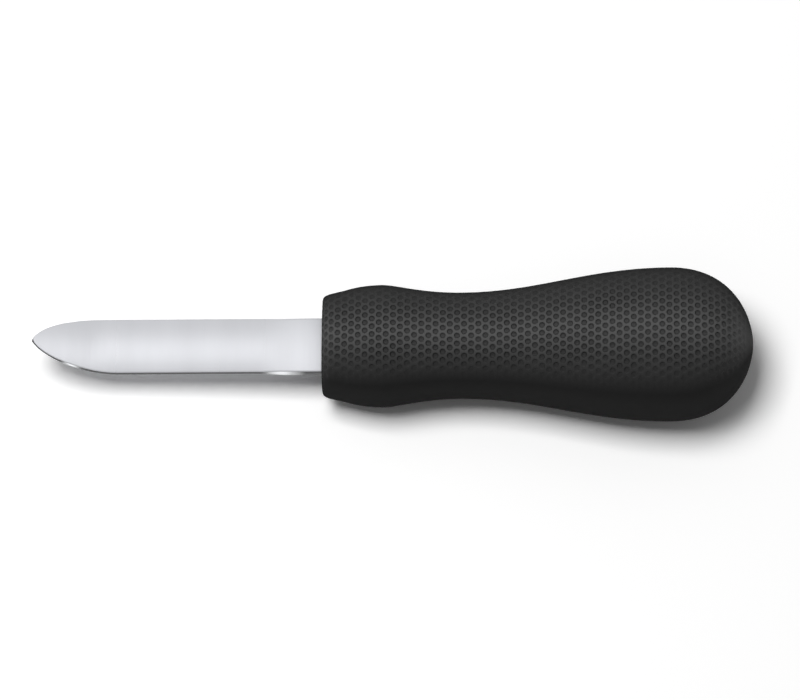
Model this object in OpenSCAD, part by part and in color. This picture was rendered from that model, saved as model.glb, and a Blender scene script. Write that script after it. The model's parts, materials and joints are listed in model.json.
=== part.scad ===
// Oyster knife: a short stiff steel blade with a bent, rounded tip, in an oval soft-grip handle.
// The knife lies as it rests on a table, with both bulges of its handle on the table.
// X runs from the tip to the butt, Y across the blade, Z is up, and the origin is under the middle.

/* [Blade] */
// Length of the blade in front of the handle
blade_len = 70; // [56:1:100]
// Width of the blade
blade_w = 13.6; // [10:0.1:15]
// Thickness of the steel sheet, as the handle holds it
stock_t = 3; // [3:0.1:3.6]
// Thickness of the finished blade in front of the handle
blade_t = 2.9; // [2.2:0.1:2.9]
// Thickness left along both ground edges
edge_t = 1.3; // [0.8:0.1:1.8]
// Height of the crown that the grinding leaves on the upper face
crown = 0.25; // [0.05:0.05:0.35]
// Thickness of the steel in the middle of the tip
tip_t = 1.5; // [1.2:0.1:2]
// Thickness of the steel round the edge of the tip
tip_edge_t = 0.6; // [0.4:0.1:0.8]
// Length of the unground steel in front of the handle
ricasso_len = 7.5; // [5:0.5:20]
// Length over which the grinding runs out
runout_len = 9.5; // [2:0.5:12]
// Length of the rounded point
point_len = 20.5; // [14:0.5:26]
// Length of the tip, from where its bend starts
tip_len = 21; // [14:0.5:26]
// Length of the steel that is curved in the bend
bend_len = 8; // [4:0.5:12]
// Angle that the tip is bent up by
bend_angle = 21; // [5:1:30]

/* [Tang] */
// Length of blade at its full width inside the handle
shoulder_len = 8; // [6:0.5:12]
// Width of the tang
tang_w = 8; // [6:0.5:9]
// Length of the tang behind the blade's shoulders
tang_len = 58; // [50:1:66]
// Diameter of the keying holes that the core fills
key_hole_d = 4.5; // [3:0.5:5]
// Distance between the keying holes
key_hole_pitch = 16; // [10:1:18]
// Number of keying holes
key_hole_count = 3; // [1:1:3]

/* [Handle] */
// Length of the handle
handle_len = 104.2; // [98:0.2:120]
// Width of the flat front end
front_w = 23; // [20:0.2:25]
// Width just behind the front corners
collar_w = 25; // [22:0.1:27]
// Width of the front bulge
bulge_w = 29; // [27.6:0.2:34]
// Distance of the front bulge from the front end
bulge_at = 14.7; // [12:0.1:18]
// Width of the waist
waist_w = 25.2; // [23:0.2:28]
// Distance of the waist from the front end
waist_at = 33.5; // [28:0.5:40]
// Width of the butt bulge
butt_w = 36.4; // [33:0.2:41]
// Distance of the butt bulge from the front end
butt_at = 84.2; // [76:0.2:88]
// Thickness of the front bulge
bulge_d = 25.6; // [23:0.2:30]
// Thickness of the waist
waist_d = 22.2; // [20:0.2:25]
// Thickness of the butt bulge
butt_d = 32.2; // [29:0.2:37]
// Radius that turns the front end onto the top and the bottom
front_r = 4.8; // [3:0.2:6]
// Fullness of the oval section: 2 is an ellipse, and more makes its top and bottom flatter
oval_power = 2.6; // [2:0.1:3]

/* [Grip] */
// Wall of the soft grip over the core
grip_wall = 2.5; // [1.6:0.1:3.5]
// Wall of the soft grip at the front end
front_wall = 3; // [2:0.1:4]

/* [Hidden] */

// Counts of flat facets: around the handle, and along each stretch of its outline. Each count around
// is two more than a multiple of four, for one facet on the top and one on the bottom.
grip_sides = 46;
core_sides = 34;
grip_steps = [5, 6, 8, 12, 12];
core_steps = [3, 4, 6, 8, 8];
// Half the turn round the section that the flat on the top, and the flat on the bottom, takes up
flat_turn = 14;
// Counts of facets on the blade: across it, along its point, its body and the run-out
blade_strips = 14;
point_steps = 20;
body_steps = 9;
runout_steps = 6;
// Share of the point's curve at which the small flat of the tip ends
tip_flat = 0.03;
// Extra length that a cutting form has beyond what it cuts
beyond = 1;

// Share of a stretch over which the handle's outline keeps its direction, at the stretch's start and end
rise_hold = [0.10, 0.56];
fall_hold = [0.17, 0.51];
belly_hold = [0.37, 0.40];
// The same for the round butt, along the handle and across it
butt_hold = [0.77, 0.35];
// The same for the point of the blade, across it at the tip and along it behind
point_hold = [0.25, 0.70];
// Share that makes a curve follow a quarter circle
round_hold = 0.5523;

// A point on the curve that four control points give, with t from 0 to 1
function curve_at(p, t) =
    pow(1 - t, 3) * p[0] + 3 * pow(1 - t, 2) * t * p[1] + 3 * (1 - t) * t * t * p[2] + pow(t, 3) * p[3];

// The handle's outline as five stretches of [distance from the front end, half width, half thickness].
// An inset of 0 gives the grip's outer face. The core's outline is the same one, moved inwards.
function half(w, d, inset) = [w / 2 - inset, d / 2 - inset];
function at(x, h) = [x, h[0], h[1]];
function outline(inset, start) =
    let (end = handle_len - inset,
         collar_d = bulge_d * collar_w / bulge_w,
         face = half(front_w, collar_d - 2 * front_r, inset),
         edge = half(collar_w, collar_d - 2 * front_r * (1 - round_hold), inset),
         collar = half(collar_w + (bulge_w - collar_w) * front_r / bulge_at, collar_d, inset),
         top = half(collar_w, collar_d, inset),
         bulge = half(bulge_w, bulge_d, inset),
         waist = half(waist_w, waist_d, inset),
         butt = half(butt_w, butt_d, inset),
         collar_at = start + front_r,
         lead = (collar - top) / (front_r * round_hold),
         rise = bulge_at - collar_at,
         fall = waist_at - bulge_at,
         belly = butt_at - waist_at,
         round = end - butt_at)
    [[at(start, face), at(start, edge), at(start + front_r * (1 - round_hold), top), at(collar_at, collar)],
     [at(collar_at, collar), at(collar_at + rise * rise_hold[0], collar + lead * rise * rise_hold[0]),
      at(bulge_at - rise * rise_hold[1], bulge), at(bulge_at, bulge)],
     [at(bulge_at, bulge), at(bulge_at + fall * fall_hold[0], bulge),
      at(waist_at - fall * fall_hold[1], waist), at(waist_at, waist)],
     [at(waist_at, waist), at(waist_at + belly * belly_hold[0], waist),
      at(butt_at - belly * belly_hold[1], butt), at(butt_at, butt)],
     [at(butt_at, butt), at(butt_at + round * butt_hold[0], butt),
      at(end, butt * butt_hold[1]), at(end, [0, 0])]];

// The stations along an outline, without the last one, where it closes to a point
function stations(curves, steps) =
    [for (i = [0 : len(curves) - 1], k = [0 : steps[i] - 1]) curve_at(curves[i], k / steps[i])];

outer_stations = stations(outline(0, 0), grip_steps);
core_stations = stations(outline(grip_wall, front_wall), core_steps);

// How far the handle reaches below its own axis when it is tipped forward by an angle
function reach(line, tip_angle) = max([for (s = line) s[2] * cos(tip_angle) - s[0] * sin(tip_angle)]);
front_part = [for (s = outer_stations) if (s[0] < waist_at) s];
rear_part = [for (s = outer_stations) if (s[0] >= waist_at) s];
// The angle at which both bulges reach equally low, found by halving the span that holds it
function settle(low, high, halvings) =
    let (mid = (low + high) / 2)
    halvings == 0 ? mid
    : reach(rear_part, mid) > reach(front_part, mid) ? settle(mid, high, halvings - 1)
    : settle(low, mid, halvings - 1);
rest_angle = settle(-15, 15, 24);
rest_height = reach(outer_stations, rest_angle);

// The steel is straight up to the bend, rises along an arc of bend_len, and then goes straight on.
// Its angle, the height of its middle, and a point above its middle, at a distance past the bend's start
bend_r = bend_len / sin(bend_angle);
function angle_at(past) = asin(min(max(past, 0), bend_len) / bend_r);
function rise_at(past) = bend_r * (1 - cos(angle_at(past))) + max(past - bend_len, 0) * tan(bend_angle);
function bent(past, height) =
    [tip_len - blade_len - past + height * sin(angle_at(past)), rise_at(past) + height * cos(angle_at(past))];

// The foremost corner of the tip, and the middle of the whole knife as it rests
tip_corner = bent(tip_len, -tip_t / 2);
tip_x = tip_corner[0] * cos(rest_angle) - tip_corner[1] * sin(rest_angle);
middle_x = (tip_x + handle_len * cos(rest_angle)) / 2;

// Puts a piece drawn along the knife's own axis, from the front end of the handle, as it rests
module at_rest() {
    translate([-middle_x, 0, rest_height]) rotate([0, -rest_angle, 0]) children();
}

// A closed solid through rings of points that all have the same count
module skin(rings) {
    n = len(rings[0]);
    last = len(rings) - 1;
    sides = [for (i = [0 : last - 1], k = [0 : n - 1])
        let (a = i * n + k, b = i * n + (k + 1) % n) each [[a, b, b + n], [a, b + n, a + n]]];
    // Each end is closed by strips from one side of its ring to the other
    front = [for (k = [0 : n / 2 - 2]) [k, n - 1 - k, n - 2 - k, k + 1]];
    back = [for (k = [0 : n / 2 - 2]) [for (p = [k, k + 1, n - 2 - k, n - 1 - k]) last * n + p]];
    polyhedron(points = [for (r = rings) each r], faces = concat(front, sides, back), convexity = 6);
}

// A full oval form through the stations, with its end at the butt closed by a small flat. It has a
// flat along its top and its bottom at the full thickness, and the knife rests on the lower one.
function full(share) = sign(share) * pow(abs(share), 2 / oval_power);
module oval_form(line, sides) {
    quarter = (sides - 2) / 4;
    turns = [for (side = [0, 1], k = [quarter : -1 : -quarter]) k * (90 - flat_turn) / quarter - 180 * side];
    flat_share = full(cos(flat_turn));
    skin([for (s = line) [for (turn = turns)
        [s[0], s[1] * full(cos(turn)), s[2] * full(sin(turn)) / flat_share]]]);
}

// A smooth rise from 0 to 1
function ease(t) = t * t * (3 - 2 * t);

// Stations along the blade as [distance from the tip, half width], from the tip to the handle
ground_end = blade_len - ricasso_len - runout_len;
point_curve = [[0, 0], [0, point_hold[0] * blade_w / 2],
    [point_len * (1 - point_hold[1]), blade_w / 2], [point_len, blade_w / 2]];
blade_stations = concat(
    [for (k = [0 : point_steps]) curve_at(point_curve, tip_flat + (1 - tip_flat) * k / point_steps)],
    [for (k = [1 : body_steps]) [point_len + (ground_end - point_len) * k / body_steps, blade_w / 2]],
    [for (k = [1 : runout_steps]) [ground_end + runout_len * k / runout_steps, blade_w / 2]],
    [[blade_len, blade_w / 2]]);

// One ring round the steel, square to it. The grinding leaves a low crown on the upper face and
// takes the rest from the underside, so both edges lie high.
function steel_ring(from_tip, half_w) =
    let (past = tip_len - from_tip,
         tip_share = max(0, past / tip_len),
         middle = blade_t - (blade_t - tip_t) * tip_share,
         edge = edge_t - (edge_t - tip_edge_t) * tip_share,
         ground = 1 - ease(min(1, max(0, (from_tip - ground_end) / runout_len))),
         shares = [for (k = [0 : blade_strips]) 1 - 2 * k / blade_strips],
         upper = function (share) middle / 2 - crown * ground * share * share,
         lower = function (share) -middle / 2 + (middle - edge - crown) * ground * share * share,
         place = function (share, height) let (p = bent(past, height)) [p[0], share * half_w, p[1]])
    concat([for (q = shares) place(q, lower(q))],
        [for (k = [blade_strips : -1 : 0]) place(shares[k], upper(shares[k]))]);

// The tang is cut from the same sheet as the blade, with keying holes for the core's plastic
module tang() {
    difference() {
        translate([0, -tang_w / 2, -stock_t / 2]) cube([shoulder_len + tang_len, tang_w, stock_t]);
        for (k = [0 : key_hole_count - 1]) {
            translate([shoulder_len + key_hole_pitch * (k + 1), 0, 0])
                cylinder(d = key_hole_d, h = stock_t + 2 * beyond, center = true, $fn = 48);
        }
    }
}

// The steel as one piece, in the knife's own frame
module steel() {
    union() {
        skin([for (s = blade_stations) steel_ring(s[0], s[1])]);
        shoulder();
        tang();
    }
}

// Full-width steel from the front end of the handle to the shoulders, which the grip and core fit.
// A cut through the front end starts in front of it.
module shoulder(in_front = 0) {
    translate([-in_front, -blade_w / 2, -stock_t / 2]) cube([shoulder_len + in_front, blade_w, stock_t]);
}

// Stainless steel blade and tang
module blade() {
    color("#c9ccd0") at_rest() steel();
}

// Hard plastic core, moulded round the tang and through its keying holes
module handle_core() {
    color("#3a3a3a") at_rest() difference() {
        oval_form(core_stations, core_sides);
        shoulder();
        tang();
    }
}

// Soft grip, moulded over the core and shut against the blade at the front end
module grip() {
    color("#262626") at_rest() difference() {
        oval_form(outer_stations, grip_sides);
        oval_form(core_stations, core_sides);
        shoulder(beyond);
    }
}

blade();
handle_core();
grip();
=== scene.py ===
# Oyster knife as it lies on a table: steel blade with a bent tip, hard core, dimpled soft grip.
import json
import math

import bmesh
import bpy
import numpy
from mathutils import Matrix, Vector


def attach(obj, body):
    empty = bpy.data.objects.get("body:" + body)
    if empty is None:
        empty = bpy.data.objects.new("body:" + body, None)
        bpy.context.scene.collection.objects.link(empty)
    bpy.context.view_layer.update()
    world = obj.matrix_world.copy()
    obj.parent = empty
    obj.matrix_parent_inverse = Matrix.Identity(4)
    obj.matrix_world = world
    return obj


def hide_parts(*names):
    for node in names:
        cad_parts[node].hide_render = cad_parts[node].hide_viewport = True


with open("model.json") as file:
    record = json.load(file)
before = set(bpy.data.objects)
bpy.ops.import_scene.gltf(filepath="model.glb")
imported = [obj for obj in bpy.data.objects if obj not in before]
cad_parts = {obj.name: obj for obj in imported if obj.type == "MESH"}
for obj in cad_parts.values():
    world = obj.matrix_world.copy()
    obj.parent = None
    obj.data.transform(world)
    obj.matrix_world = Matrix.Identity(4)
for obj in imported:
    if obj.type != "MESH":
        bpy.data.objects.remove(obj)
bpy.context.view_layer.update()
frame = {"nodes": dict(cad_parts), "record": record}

scene = bpy.context.scene

# Camera: a long lens high above the table, tipped towards the near side of the knife, so that
# one millimetre on the knife is as long in the picture as it is in the photograph. The picture's
# middle is at a point above the table, moved down in the picture by the last of these lengths.
mm = 0.001
photo_width = 800
photo_mm_per_px = 0.2422
camera_tilt = math.radians(18)
camera_roll = math.radians(0.52)
camera_distance = 1.6
sensor_mm = 36
middle_of_view = Vector((1.9 * mm, 0, 13 * mm))
moved_down = 0.93 * mm

camera_data = bpy.data.cameras.new("camera")
camera_data.sensor_width = sensor_mm
camera_data.lens = sensor_mm * camera_distance / (photo_width * photo_mm_per_px * mm)
camera = bpy.data.objects.new("camera", camera_data)
scene.collection.objects.link(camera)
scene.camera = camera
turn = Matrix.Rotation(camera_tilt, 4, "X") @ Matrix.Rotation(camera_roll, 4, "Z")
aim = middle_of_view - turn.to_3x3() @ Vector((0, moved_down, 0))
camera.matrix_world = Matrix.Translation(aim + turn.to_3x3() @ Vector((0, 0, camera_distance))) @ turn

# Blade: one piece of stainless sheet, 2.9 mm thick, blanked, ground thinner towards both edges, mostly
# from below, and bent up at its rounded tip. The grinding runs out in front of the handle, and behind
# it the tang goes into the core.
blade_len = 70
blade_w = 13.6
blade_t = 2.9
edge_t = 1.3
tip_t = 1.5
tip_edge_t = 0.6
edge_r = 0.12
hidden_len = 2

# Grinding: how far the faces fall towards the edges, where they are ground and where they are not
crown = 0.25
flat_crown = 0.12
ricasso_len = 7.5
runout_len = 9.5

# Tip: its pointed length, the curve of its outline, which starts just behind the point, and its bend,
# with the taper of its thickness, which eases in
point_len = 20.5
point_blunt = 0.25
point_full = 0.30
point_start = 0.03
tip_len = 21
bend_len = 8
bend_angle = math.radians(21)
taper_ease = 1.5

# Spans of the narrow sides, from the tip, that are painted bright, painted glints, and turned a little
# upwards
glint_spans = [(54.5, 65.6), (6.2, 11.8)]
side_lean = 0.06
dull_len = 4

# Where the blade runs out at its point, the rounding and the lean are at most these shares of half
# its width there
most_round = 0.4
most_lean = 0.1

# Points across a face and round a corner, and sections along the point, the ground part and its runout
face_steps = 40
corner_steps = 4
point_steps = 60
ground_steps = 40
runout_steps = 24

# The unground flat is a mount, and its place and normal say how the knife lies. On the knife itself,
# X starts at the front end of the handle and goes to the butt, and Z is square to the flat.
blade_flat = frame["record"]["mounts"][0]
flat_at = -3.75
up = Vector(blade_flat["axis"]).normalized()
along = Vector((up.z, 0, -up.x))
front_end = Vector(blade_flat["pos_m"]) - along * flat_at * mm - up * blade_t / 2 * mm


def lay(points):
    """Moves points in millimetres on the knife into the frame, in metres."""
    p = numpy.asarray(points, dtype=float) * mm
    axes = numpy.array([along, (0, 1, 0), up])
    return p @ axes + numpy.array(front_end)


def curve_at(controls, t):
    """Points on the cubic curve that four control points draw, for an array t from 0 to 1."""
    p = numpy.asarray(controls, dtype=float)
    t = numpy.asarray(t, dtype=float)[:, None]
    s = 1 - t
    return s ** 3 * p[0] + 3 * s * s * t * p[1] + 3 * s * t * t * p[2] + t ** 3 * p[3]


def lofted(name, rings):
    """A smooth closed mesh through rings of points, each ring with as many points."""
    count = rings.shape[1]
    corners = numpy.arange(rings.shape[0] * count).reshape(rings.shape[:2])
    a, b = corners[:-1], corners[1:]
    quads = numpy.stack([a, numpy.roll(a, -1, 1), numpy.roll(b, -1, 1), b], axis=-1).reshape(-1, 4)
    faces = quads.tolist() + [corners[0][::-1].tolist(), corners[-1].tolist()]
    mesh = bpy.data.meshes.new(name)
    mesh.from_pydata(lay(rings.reshape(-1, 3)).tolist(), [], faces)
    shape = bmesh.new()
    shape.from_mesh(mesh)
    bmesh.ops.recalc_face_normals(shape, faces=shape.faces)
    shape.to_mesh(mesh)
    shape.free()
    mesh.shade_smooth()
    piece = bpy.data.objects.new(name, mesh)
    scene.collection.objects.link(piece)
    return piece


def mark(piece, name, kind, values):
    """Gives each point of a piece a number (FLOAT) or three (FLOAT_VECTOR) for its material to read."""
    marks = piece.data.attributes.new(name, kind, "POINT")
    marks.data.foreach_set("vector" if kind == "FLOAT_VECTOR" else "value", numpy.ravel(values))


def side_glint(from_tip):
    """How strongly the narrow side is painted bright as a glint and turned upwards, from 0 to 1, at a
    distance from the tip.
    """
    shares = [min(1.0, max(0.0, (from_tip - first) / (last - first))) for first, last in glint_spans]
    return sum(math.sin(math.pi * share) ** 2 for share in shares)


def blade_ring(from_tip, half_w):
    """The section of the blade at a distance from its tip, as points around it, square to the steel."""
    past = tip_len - from_tip
    tip_share = max(0.0, past / tip_len) ** taper_ease
    middle = blade_t - (blade_t - tip_t) * tip_share
    edge = edge_t - (edge_t - tip_edge_t) * tip_share
    runout = min(1.0, max(0.0, (from_tip - ground_end) / runout_len))
    ground = 1 - runout * runout * (3 - 2 * runout)
    upper_drop = (flat_crown + (crown - flat_crown) * ground) * (2 * half_w / blade_w) ** 2
    lower_drop = flat_crown + (middle - edge - upper_drop - flat_crown) * ground
    round_r = min(edge_r, half_w * most_round)
    flat = numpy.linspace(half_w - round_r, -(half_w - round_r), face_steps)
    upper = middle / 2 - upper_drop * (flat / half_w) ** 2
    lower = -middle / 2 + lower_drop * (flat / half_w) ** 2
    steps = numpy.linspace(0, math.pi / 2, corner_steps + 1)[1:]
    side_y = half_w - round_r + round_r * numpy.sin(steps)
    side_z = upper[0] - round_r + round_r * numpy.cos(steps)
    under_z = lower[0] + round_r - round_r * numpy.cos(steps)
    half_ring = numpy.concatenate([side_y[::-1], flat, -side_y])
    lean = 1 - min(side_lean, half_w * most_lean) * side_glint(from_tip) / half_w
    ys = numpy.concatenate([half_ring * lean, half_ring[::-1]])
    heights = numpy.concatenate([side_z[::-1], upper, side_z, under_z[::-1], lower[::-1], under_z])
    angle = math.asin(min(max(past, 0.0), bend_len) / bend_r)
    rise = bend_r * (1 - math.cos(angle)) + max(past - bend_len, 0.0) * math.tan(bend_angle)
    xs = tip_len - blade_len - past + heights * math.sin(angle)
    return numpy.stack([xs, ys, rise + heights * math.cos(angle)], axis=1)


bend_r = bend_len / math.sin(bend_angle)
ground_end = blade_len - ricasso_len - runout_len
point_controls = [(0, 0), (0, point_blunt * blade_w / 2),
                  (point_full * point_len, blade_w / 2), (point_len, blade_w / 2)]
point_stops = curve_at(point_controls, numpy.linspace(point_start, 1, point_steps))
straight_stops = numpy.concatenate([
    numpy.linspace(point_len, ground_end, ground_steps)[1:],
    numpy.linspace(ground_end, blade_len - ricasso_len, runout_steps)[1:],
    [blade_len - dull_len, blade_len, blade_len + hidden_len]])
stops = [*point_stops.tolist(), *([from_tip, blade_w / 2] for from_tip in straight_stops.tolist())]
blade_rings = numpy.array([blade_ring(from_tip, half_w) for from_tip, half_w in stops])
blade = lofted("blade_visible", blade_rings)
# Each point's share of the painted glint on the narrow sides
mark(blade, "side_glint", "FLOAT",
     numpy.repeat([side_glint(from_tip) for from_tip, half_w in stops], blade_rings.shape[1]))
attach(blade, "root")
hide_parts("blade")


def linear(hex_colour):
    """The linear colour of an sRGB hex value."""
    parts = [int(hex_colour[i:i + 2], 16) / 255 for i in (1, 3, 5)]
    return [c / 12.92 if c <= 0.04045 else ((c + 0.055) / 1.055) ** 2.4 for c in parts] + [1]


def per_metre(*sizes_mm):
    """How often a pattern of these sizes in millimetres repeats in a metre."""
    return [1 / (size * mm) for size in sizes_mm]


def new_material(name):
    """A material without nodes, for a finish that is built up node by node."""
    material = bpy.data.materials.new(name)
    material.use_nodes = True
    material.node_tree.nodes.clear()
    return material


def add(owner, kind, inputs=None, **settings):
    """Adds a node, sets its properties and its inputs, and links the inputs that are sockets."""
    node = owner.node_tree.nodes.new(kind)
    for key, value in settings.items():
        setattr(node, key, value)
    for key, value in (inputs or {}).items():
        if isinstance(value, bpy.types.NodeSocket):
            owner.node_tree.links.new(value, node.inputs[key])
        else:
            node.inputs[key].default_value = value
    return node


# Its faces are stainless steel, belt-ground across the blade: fine lines across it, a soft gloss that
# is stretched along it, and slight variation between the strokes of the belt. The real lines are finer
# than a pixel, and are drawn 0.25 mm apart to show. Sizes of a pattern are along, across and up.
belt_line_mm = (0.25, 71.4, 71.4)
stroke_mm = (6, 25, 25)
steel = new_material("brushed_stainless_steel")
place = add(steel, "ShaderNodeTexCoord").outputs["Object"]
line_place = add(steel, "ShaderNodeVectorMath", {0: place, 1: per_metre(*belt_line_mm)}, operation="MULTIPLY")
lines = add(steel, "ShaderNodeTexNoise", {"Vector": line_place.outputs[0], "Scale": 1, "Detail": 2})
stroke_place = add(steel, "ShaderNodeVectorMath", {0: place, 1: per_metre(*stroke_mm)}, operation="MULTIPLY")
strokes = add(steel, "ShaderNodeTexNoise", {"Vector": stroke_place.outputs[0], "Scale": 1, "Detail": 5})
tint = add(steel, "ShaderNodeMix", {
    "Factor": strokes.outputs["Fac"], "A": linear("#bebfc3"), "B": linear("#c9cace")}, data_type="RGBA")
gloss = add(steel, "ShaderNodeMapRange", {"Value": lines.outputs["Fac"], "To Min": 0.24, "To Max": 0.36})
relief = add(steel, "ShaderNodeBump", {
    "Height": lines.outputs["Fac"], "Strength": 0.12, "Distance": 0.02 * mm})
lengthwise = add(steel, "ShaderNodeCombineXYZ", {"X": 1.0})
surface = add(steel, "ShaderNodeBsdfPrincipled", {
    "Base Color": tint.outputs["Result"], "Metallic": 1.0, "Roughness": gloss.outputs["Result"],
    "Anisotropic": 0.85, "Tangent": lengthwise.outputs["Vector"], "Normal": relief.outputs["Normal"]})
add(steel, "ShaderNodeOutputMaterial", {"Surface": surface.outputs["BSDF"]})
blade.data.materials.append(steel)

# Its narrow sides are steel with fine shear lines, painted almost black: partly the duller face of a blanked
# edge, mostly painted shade. In two short spans they are painted bright instead, painted glints. What is
# steeper than this counts as a side.
shear_line_mm = (0.3, 3.33, 16.7)
steepest_face = 0.6
side_steel = new_material("steel_side_painted_shade_and_glint")
place = add(side_steel, "ShaderNodeTexCoord").outputs["Object"]
shear_place = add(side_steel, "ShaderNodeVectorMath", {0: place, 1: per_metre(*shear_line_mm)},
                  operation="MULTIPLY")
shear = add(side_steel, "ShaderNodeTexNoise", {"Vector": shear_place.outputs[0], "Scale": 1, "Detail": 2})
# Almost black: partly a duller blanked face, mostly painted shade
dull_and_painted_shade_tint = add(side_steel, "ShaderNodeMix", {
    "Factor": shear.outputs["Fac"], "A": linear("#141518"), "B": linear("#232528")}, data_type="RGBA")
dull_gloss = add(side_steel, "ShaderNodeMapRange", {
    "Value": shear.outputs["Fac"], "To Min": 0.24, "To Max": 0.36})
# Painted glints: in two spans the sides are coloured bright
painted_glint = add(side_steel, "ShaderNodeAttribute", attribute_name="side_glint").outputs["Fac"]
tint = add(side_steel, "ShaderNodeMix", {
    "Factor": painted_glint, "A": dull_and_painted_shade_tint.outputs["Result"], "B": linear("#f0f2f4")}, data_type="RGBA")
gloss = add(side_steel, "ShaderNodeMix", {"Factor": painted_glint, "A": dull_gloss.outputs["Result"], "B": 0.18})
surface = add(side_steel, "ShaderNodeBsdfPrincipled", {
    "Base Color": tint.outputs["Result"], "Metallic": 1.0, "Roughness": gloss.outputs["Result"]})
add(side_steel, "ShaderNodeOutputMaterial", {"Surface": surface.outputs["BSDF"]})
blade.data.materials.append(side_steel)
for facet in blade.data.polygons:
    facet.material_index = int(abs(facet.normal.dot(up)) < steepest_face)

# Core: hard polypropylene, moulded round the tang and through its keying holes. Only the grip shows
# on the finished knife, so it keeps the plain finish of a mould, a soft gloss with a faint haze.
haze_mm = 0.6
core_plastic = new_material("moulded_polypropylene")
place = add(core_plastic, "ShaderNodeTexCoord").outputs["Object"]
haze = add(core_plastic, "ShaderNodeTexNoise", {"Vector": place, "Scale": 1 / (haze_mm * mm), "Detail": 3})
relief = add(core_plastic, "ShaderNodeBump", {
    "Height": haze.outputs["Fac"], "Strength": 0.2, "Distance": 0.05 * mm})
surface = add(core_plastic, "ShaderNodeBsdfPrincipled", {
    "Base Color": linear("#3a3a3a"), "Roughness": 0.5, "IOR": 1.49, "Normal": relief.outputs["Normal"]})
add(core_plastic, "ShaderNodeOutputMaterial", {"Surface": surface.outputs["BSDF"]})
core = frame["nodes"]["handle_core"]
core.data.materials.clear()
core.data.materials.append(core_plastic)

# Grip: black thermoplastic elastomer moulded over the core, a full oval form with round dimples in
# staggered columns across the knife. The dimples fade out towards the mould's parting line along the
# two sides, and stop short of the butt.
handle_len = 104.2
front_w = 23
collar_w = 25
bulge_w, bulge_d, bulge_at = 29, 25.6, 14.7
waist_w, waist_d, waist_at = 25.2, 22.2, 33.5
butt_w, butt_d, butt_at = 36.4, 32.2, 84.2
front_r = 4.8
oval_power = 2.6
skin_inset = 0.05

# How far the outline runs straight on after one width (hold) and before the next (lead), as shares of
# the way between them, how full it still is at the last of these points, and the share with which a
# curve follows a quarter circle
collar_hold, bulge_lead = 0.10, 0.56
bulge_hold, waist_lead = 0.17, 0.51
waist_hold, butt_lead = 0.37, 0.40
butt_hold, end_full = 0.77, 0.35
quarter_circle = 0.5523

# Dimples, and where they fade: at the sides as shares of half the width, at the ends in millimetres
dimple_pitch = 1.98
dimple_d = 1.34
dimple_depth = 0.24
bare_side, side_fade = 0.88, 0.22
bare_rim, rim_fade = 0.85, 0.45
bare_front, front_fade = 0.3, 1.2
bare_butt, butt_fade = 6, 8

# Towards the butt the rubber is painted darker, a painted shade, and turns duller, as half way down the sides
butt_shade_and_matt_len = 26
butt_shade_and_matt = 0.5

# Points round the handle, rings along it, and points on each stretch of the outline
grip_sides = 320
grip_rings = 300
outline_steps = 200


def half(width, depth):
    """Half of the handle's width and depth at one place."""
    return numpy.array([width / 2, depth / 2])


collar_d = bulge_d * collar_w / bulge_w
face = half(front_w, collar_d - 2 * front_r)
rim = half(collar_w, collar_d - 2 * front_r * (1 - quarter_circle))
top = half(collar_w, collar_d)
collar = half(collar_w + (bulge_w - collar_w) * front_r / bulge_at, collar_d)
bulge, waist, butt = half(bulge_w, bulge_d), half(waist_w, waist_d), half(butt_w, butt_d)
slant = (collar - top) / (front_r * quarter_circle)
to_bulge, to_waist = bulge_at - front_r, waist_at - bulge_at
to_butt, to_end = butt_at - waist_at, handle_len - butt_at
stretches = [
    [(0, *face), (0, *rim), (front_r * (1 - quarter_circle), *top), (front_r, *collar)],
    [(front_r, *collar), (front_r + to_bulge * collar_hold, *(collar + slant * to_bulge * collar_hold)),
     (bulge_at - to_bulge * bulge_lead, *bulge), (bulge_at, *bulge)],
    [(bulge_at, *bulge), (bulge_at + to_waist * bulge_hold, *bulge),
     (waist_at - to_waist * waist_lead, *waist), (waist_at, *waist)],
    [(waist_at, *waist), (waist_at + to_butt * waist_hold, *waist),
     (butt_at - to_butt * butt_lead, *butt), (butt_at, *butt)],
    [(butt_at, *butt), (butt_at + to_end * butt_hold, *butt),
     (handle_len, *(butt * end_full)), (handle_len, 0, 0)]]
outline = numpy.concatenate([curve_at(s, numpy.linspace(0, 1, outline_steps)[:-1]) for s in stretches])
along_top = numpy.concatenate([[0], numpy.cumsum(numpy.hypot(*numpy.diff(outline[:, ::2], axis=0).T))])
even = numpy.linspace(0, along_top[-1], grip_rings)
stations = numpy.stack([numpy.interp(even, along_top, outline[:, k]) for k in range(3)], axis=1)

turns = numpy.linspace(0, 2 * math.pi, grip_sides, endpoint=False)
full = numpy.abs(numpy.cos(turns)) ** oval_power + numpy.abs(numpy.sin(turns)) ** oval_power
reach = full ** (-1 / oval_power)
smooth_form = numpy.stack([
    numpy.repeat(stations[:, 0:1], grip_sides, axis=1),
    stations[:, 1:2] * reach * numpy.cos(turns), stations[:, 2:3] * reach * numpy.sin(turns)], axis=2)
ring_steps = numpy.roll(smooth_form, -1, 1) - numpy.roll(smooth_form, 1, 1)
normals = numpy.cross(numpy.gradient(smooth_form, axis=0), ring_steps)
normals /= numpy.linalg.norm(normals, axis=2, keepdims=True)
from_middle = smooth_form - smooth_form.mean(axis=1, keepdims=True)
outward = numpy.sign((normals * from_middle).sum(axis=2, keepdims=True))
normals *= numpy.where(outward == 0, 1, outward)

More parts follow.
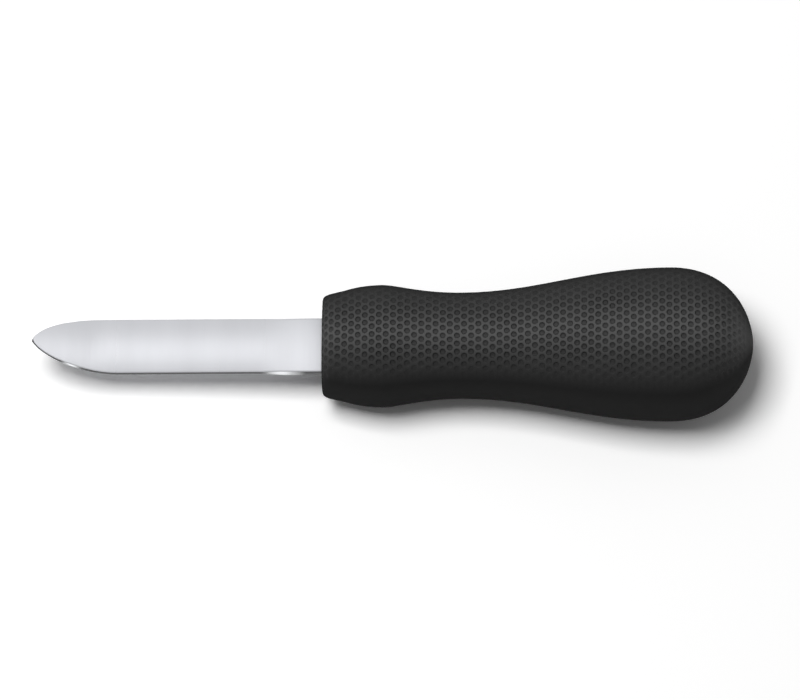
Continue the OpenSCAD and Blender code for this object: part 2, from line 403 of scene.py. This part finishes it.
# The nearest dimple of a staggered grid, whose columns lie evenly along the top of the handle
column_pitch = dimple_pitch * math.sqrt(3) / 2
down_handle = numpy.repeat(even[:, None], grip_sides, axis=1)
across_handle = smooth_form[:, :, 1]
distances = []
for step in (0, 1):
    column = numpy.floor(down_handle / column_pitch) + step
    offset = numpy.where(column % 2 == 0, 0.0, dimple_pitch / 2)
    row = numpy.round((across_handle - offset) / dimple_pitch)
    distances.append(numpy.hypot(
        down_handle - column * column_pitch, across_handle - offset - row * dimple_pitch))
bowl = numpy.clip(1 - (numpy.minimum(*distances) / (dimple_d / 2)) ** 2, 0, 1)
off_crest = numpy.abs(across_handle) / stations[:, 1:2]
ends = (numpy.clip((even - bare_front) / front_fade, 0, 1)
        * numpy.clip((even[-1] - bare_butt - even) / butt_fade, 0, 1))[:, None]
sunk = dimple_depth * bowl * numpy.clip((bare_side - off_crest) / side_fade, 0, 1) * ends
grip = lofted("grip_dimpled", smooth_form - normals * (skin_inset + sunk[:, :, None]))
rim_strength = numpy.clip((bare_rim - off_crest) / rim_fade, 0, 1) * ends
mark(grip, "mould_place", "FLOAT_VECTOR", numpy.stack([down_handle, across_handle, rim_strength], axis=2))
near_butt = numpy.clip(1 - (even[-1] - even[:, None]) / butt_shade_and_matt_len, 0, 1)
# How far from the crest, or how near the butt, a point is; this sets the painted shade of the sides and the
# butt
mark(grip, "off_crest", "FLOAT", numpy.clip(numpy.hypot(off_crest, butt_shade_and_matt * near_butt), 0, 1))
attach(grip, "root")
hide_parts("grip")

# It is a soft-touch elastomer from a spark-eroded mould: a fine matt grain that scatters the light widely.
# Its colour is painted paler along the crest and darker down the sides and at the butt, a painted shade, and
# it is glossier along the crest. The real grain is finer than a pixel, and is drawn 0.22 mm wide to show.
grain_mm = 0.22
rubbed_mm = 9
rubber = new_material("matt_black_elastomer")
place = add(rubber, "ShaderNodeTexCoord").outputs["Object"]
grain = add(rubber, "ShaderNodeTexNoise", {"Vector": place, "Scale": 1 / (grain_mm * mm), "Detail": 2})
rubbed = add(rubber, "ShaderNodeTexNoise", {"Vector": place, "Scale": 1 / (rubbed_mm * mm), "Detail": 2})
tint = add(rubber, "ShaderNodeMix", {
    "Factor": rubbed.outputs["Fac"], "A": linear("#424242"), "B": linear("#4a4a4a")}, data_type="RGBA")
glance = add(rubber, "ShaderNodeLayerWeight", {"Blend": 0.5})
matt = add(rubber, "ShaderNodeMapRange", {
    "Value": glance.outputs["Facing"], "From Min": 0.25, "From Max": 0.9, "To Min": 0.44, "To Max": 0.95})
grainy = add(rubber, "ShaderNodeMapRange", {"Value": grain.outputs["Fac"], "To Min": -0.06, "To Max": 0.06})
gloss = add(rubber, "ShaderNodeMath", {0: matt.outputs["Result"], 1: grainy.outputs["Result"]},
            use_clamp=True)

# The dimples' rims are too fine for the mesh, so the bump draws them at the same places. Two
# rectangular grids of points, one half a step beside the other, make the staggered columns. Where
# hands rub them, the rims are a little softer.
rim_mm = 0.22
rim_inside = dimple_d / 2 - rim_mm
rim_outside = dimple_d / 2 + rim_mm / 2
hollow_r = dimple_d * 0.30
column_half = (column_pitch, dimple_pitch / 2, 1)
mould_place = add(rubber, "ShaderNodeAttribute", attribute_name="mould_place").outputs["Vector"]
to_dimple = []
for shift in ((0, 0, 0), column_half):
    moved = add(rubber, "ShaderNodeVectorMath", {0: mould_place, 1: shift}, operation="ADD")
    wrapped = add(rubber, "ShaderNodeVectorMath", {
        0: moved.outputs[0], 1: column_half, 2: [-c for c in column_half]}, operation="WRAP")
    level = add(rubber, "ShaderNodeVectorMath", {0: wrapped.outputs[0], 1: (1, 1, 0)}, operation="MULTIPLY")
    away = add(rubber, "ShaderNodeVectorMath", {0: level.outputs[0]}, operation="LENGTH")
    to_dimple.append(away.outputs["Value"])
gap = add(rubber, "ShaderNodeMath", {0: to_dimple[0], 1: to_dimple[1]}, operation="MINIMUM")
web = add(rubber, "ShaderNodeMapRange", {
    "Value": gap.outputs[0], "From Min": rim_inside, "From Max": rim_outside},
    interpolation_type="SMOOTHSTEP")
strength = add(rubber, "ShaderNodeSeparateXYZ", {0: mould_place}).outputs["Z"]
crisp = add(rubber, "ShaderNodeMapRange", {
    "Value": rubbed.outputs["Fac"], "From Min": 0.35, "From Max": 0.6, "To Min": 1.0, "To Max": 0.7})
rims = add(rubber, "ShaderNodeMath", {0: web.outputs["Result"], 1: strength}, operation="MULTIPLY")
worn_rims = add(rubber, "ShaderNodeMath", {0: rims.outputs[0], 1: crisp.outputs["Result"]},
                operation="MULTIPLY")
rim_relief = add(rubber, "ShaderNodeBump", {
    "Height": worn_rims.outputs[0], "Strength": 1.0, "Distance": 0.45 * mm})
relief = add(rubber, "ShaderNodeBump", {
    "Height": grain.outputs["Fac"], "Strength": 0.3, "Distance": 0.04 * mm,
    "Normal": rim_relief.outputs["Normal"]})

# The hollows are painted darker, a painted shade in the recesses, and the sides of the handle and its butt
# are painted darker than its crest, a painted shade, and are duller
hollow = add(rubber, "ShaderNodeMapRange", {
    "Value": gap.outputs[0], "From Min": hollow_r, "From Max": rim_outside, "To Min": 1.0, "To Max": 0.0},
    interpolation_type="SMOOTHSTEP")
shaded = add(rubber, "ShaderNodeMath", {0: hollow.outputs["Result"], 1: strength}, operation="MULTIPLY")
# Painted shade: the dimples' hollows are coloured darker
hollow_shaded_tint = add(rubber, "ShaderNodeMix", {
    "Factor": shaded.outputs[0], "A": tint.outputs["Result"], "B": linear("#2b2b2b")}, data_type="RGBA")
crest = add(rubber, "ShaderNodeAttribute", attribute_name="off_crest").outputs["Fac"]
crest_to_side = add(rubber, "ShaderNodeMapRange", {"Value": crest, "From Min": 0.05, "From Max": 0.88})
polish = add(rubber, "ShaderNodeMapRange", {
    "Value": crest_to_side.outputs["Result"], "To Min": 0.5, "To Max": 0.08})
# Painted shade: the sides and the butt are coloured darker than the crest
painted_side_shade_tint = add(rubber, "ShaderNodeMix", {
    "Factor": crest_to_side.outputs["Result"], "A": hollow_shaded_tint.outputs["Result"], "B": linear("#1f1f1f")},
    data_type="RGBA")
surface = add(rubber, "ShaderNodeBsdfPrincipled", {
    "Base Color": painted_side_shade_tint.outputs["Result"], "Roughness": gloss.outputs[0], "IOR": 1.4,
    "Specular IOR Level": polish.outputs["Result"], "Normal": relief.outputs["Normal"]})
add(rubber, "ShaderNodeOutputMaterial", {"Surface": surface.outputs["BSDF"]})
grip.data.materials.append(rubber)

# Table: a large plain white sheet that the knife lies on. The camera and what mirrors it see it white,
# with the knife's shadow, and it throws little light back up on the knife.
floor_half = 3
floor_mesh = bpy.data.meshes.new("table")
floor_mesh.from_pydata(
    [(-floor_half, -floor_half, 0), (floor_half, -floor_half, 0),
     (floor_half, floor_half, 0), (-floor_half, floor_half, 0)], [], [(0, 1, 2, 3)])
floor = bpy.data.objects.new("table", floor_mesh)
scene.collection.objects.link(floor)
white = new_material("white_table")
rays = add(white, "ShaderNodeLightPath").outputs
seen = add(white, "ShaderNodeMath", {0: rays["Is Camera Ray"], 1: rays["Is Glossy Ray"]}, operation="MAXIMUM")
shade = add(white, "ShaderNodeMapRange", {"Value": seen.outputs[0], "To Min": 0.22, "To Max": 1.16})
surface = add(white, "ShaderNodeBsdfDiffuse", {"Color": shade.outputs["Result"]})
add(white, "ShaderNodeOutputMaterial", {"Surface": surface.outputs["BSDF"]})
floor_mesh.materials.append(white)


# Studio light: a softbox nearly overhead, towards the tip's side, throws the shadow. Steel and rubber
# mirror a long strip panel over the far side, and a room that is pale on the far side and all round
# the horizon, and dimmer overhead on the near side.
def panel(name, length, width, place, power):
    """A rectangular area light that faces the knife."""
    light = bpy.data.lights.new(name, "AREA")
    light.shape = "RECTANGLE"
    light.size = length
    light.size_y = width
    light.energy = power
    lamp = bpy.data.objects.new(name, light)
    scene.collection.objects.link(lamp)
    lamp.location = place
    lamp.rotation_euler = (-Vector(place)).to_track_quat("-Z", "Y").to_euler()
    return lamp


softbox = panel("softbox", length=0.5, width=0.5, place=(-0.29, 0.07, 1.18), power=11.2)
softbox.visible_glossy = False
strip = panel("mirrored_strip", length=3.6, width=0.18, place=(0, 0.35, 1.2), power=1.6)
strip.visible_diffuse = False

# Gloss sees the room as it is, and every other ray an even light with a little of the room in it. The
# room is long, so that what is mirrored changes slowly along the knife, and tilts to the far side.
surround = 0.15
fill_share = 0.1
room_squeeze = (0.3, 1, 1)
room_tilt = math.radians(40)
room_up = (0, math.sin(room_tilt), math.cos(room_tilt))
world = bpy.data.worlds.new("studio")
scene.world = world
world.use_nodes = True
world.node_tree.nodes.clear()
towards = add(world, "ShaderNodeTexCoord").outputs["Generated"]
squeezed = add(world, "ShaderNodeVectorMath", {0: towards, 1: room_squeeze}, operation="MULTIPLY")
longways = add(world, "ShaderNodeVectorMath", {0: squeezed.outputs[0]}, operation="NORMALIZE")
far_up = add(world, "ShaderNodeVectorMath", {0: longways.outputs[0], 1: room_up}, operation="DOT_PRODUCT")
pale = add(world, "ShaderNodeMapRange", {
    "Value": far_up.outputs["Value"], "From Min": 0.45, "From Max": 0.97, "To Min": 0.02, "To Max": 1.06},
    interpolation_type="SMOOTHSTEP")
upwards = add(world, "ShaderNodeSeparateXYZ", {0: towards}).outputs["Z"]
walls = add(world, "ShaderNodeMapRange", {
    "Value": upwards, "From Min": 0.34, "From Max": 0.75, "To Min": 1.0, "To Max": 0.4},
    interpolation_type="SMOOTHSTEP")
around = add(world, "ShaderNodeMath", {0: pale.outputs["Result"], 1: walls.outputs["Result"]},
             operation="MAXIMUM")
fill = add(world, "ShaderNodeMath", {0: pale.outputs["Result"], 1: fill_share, 2: surround},
           operation="MULTIPLY_ADD")
rays = add(world, "ShaderNodeLightPath").outputs
mirrored = add(world, "ShaderNodeMix", {
    "Factor": rays["Is Glossy Ray"], "A": fill.outputs[0], "B": around.outputs[0]})
backdrop = add(world, "ShaderNodeMath", {0: mirrored.outputs[0], 1: rays["Is Camera Ray"]},
               operation="MAXIMUM")
sky = add(world, "ShaderNodeBackground", {"Color": (1, 1, 1, 1), "Strength": backdrop.outputs[0]})
add(world, "ShaderNodeOutputWorld", {"Surface": sky.outputs["Background"]})

scene.view_settings.view_transform = "Standard"
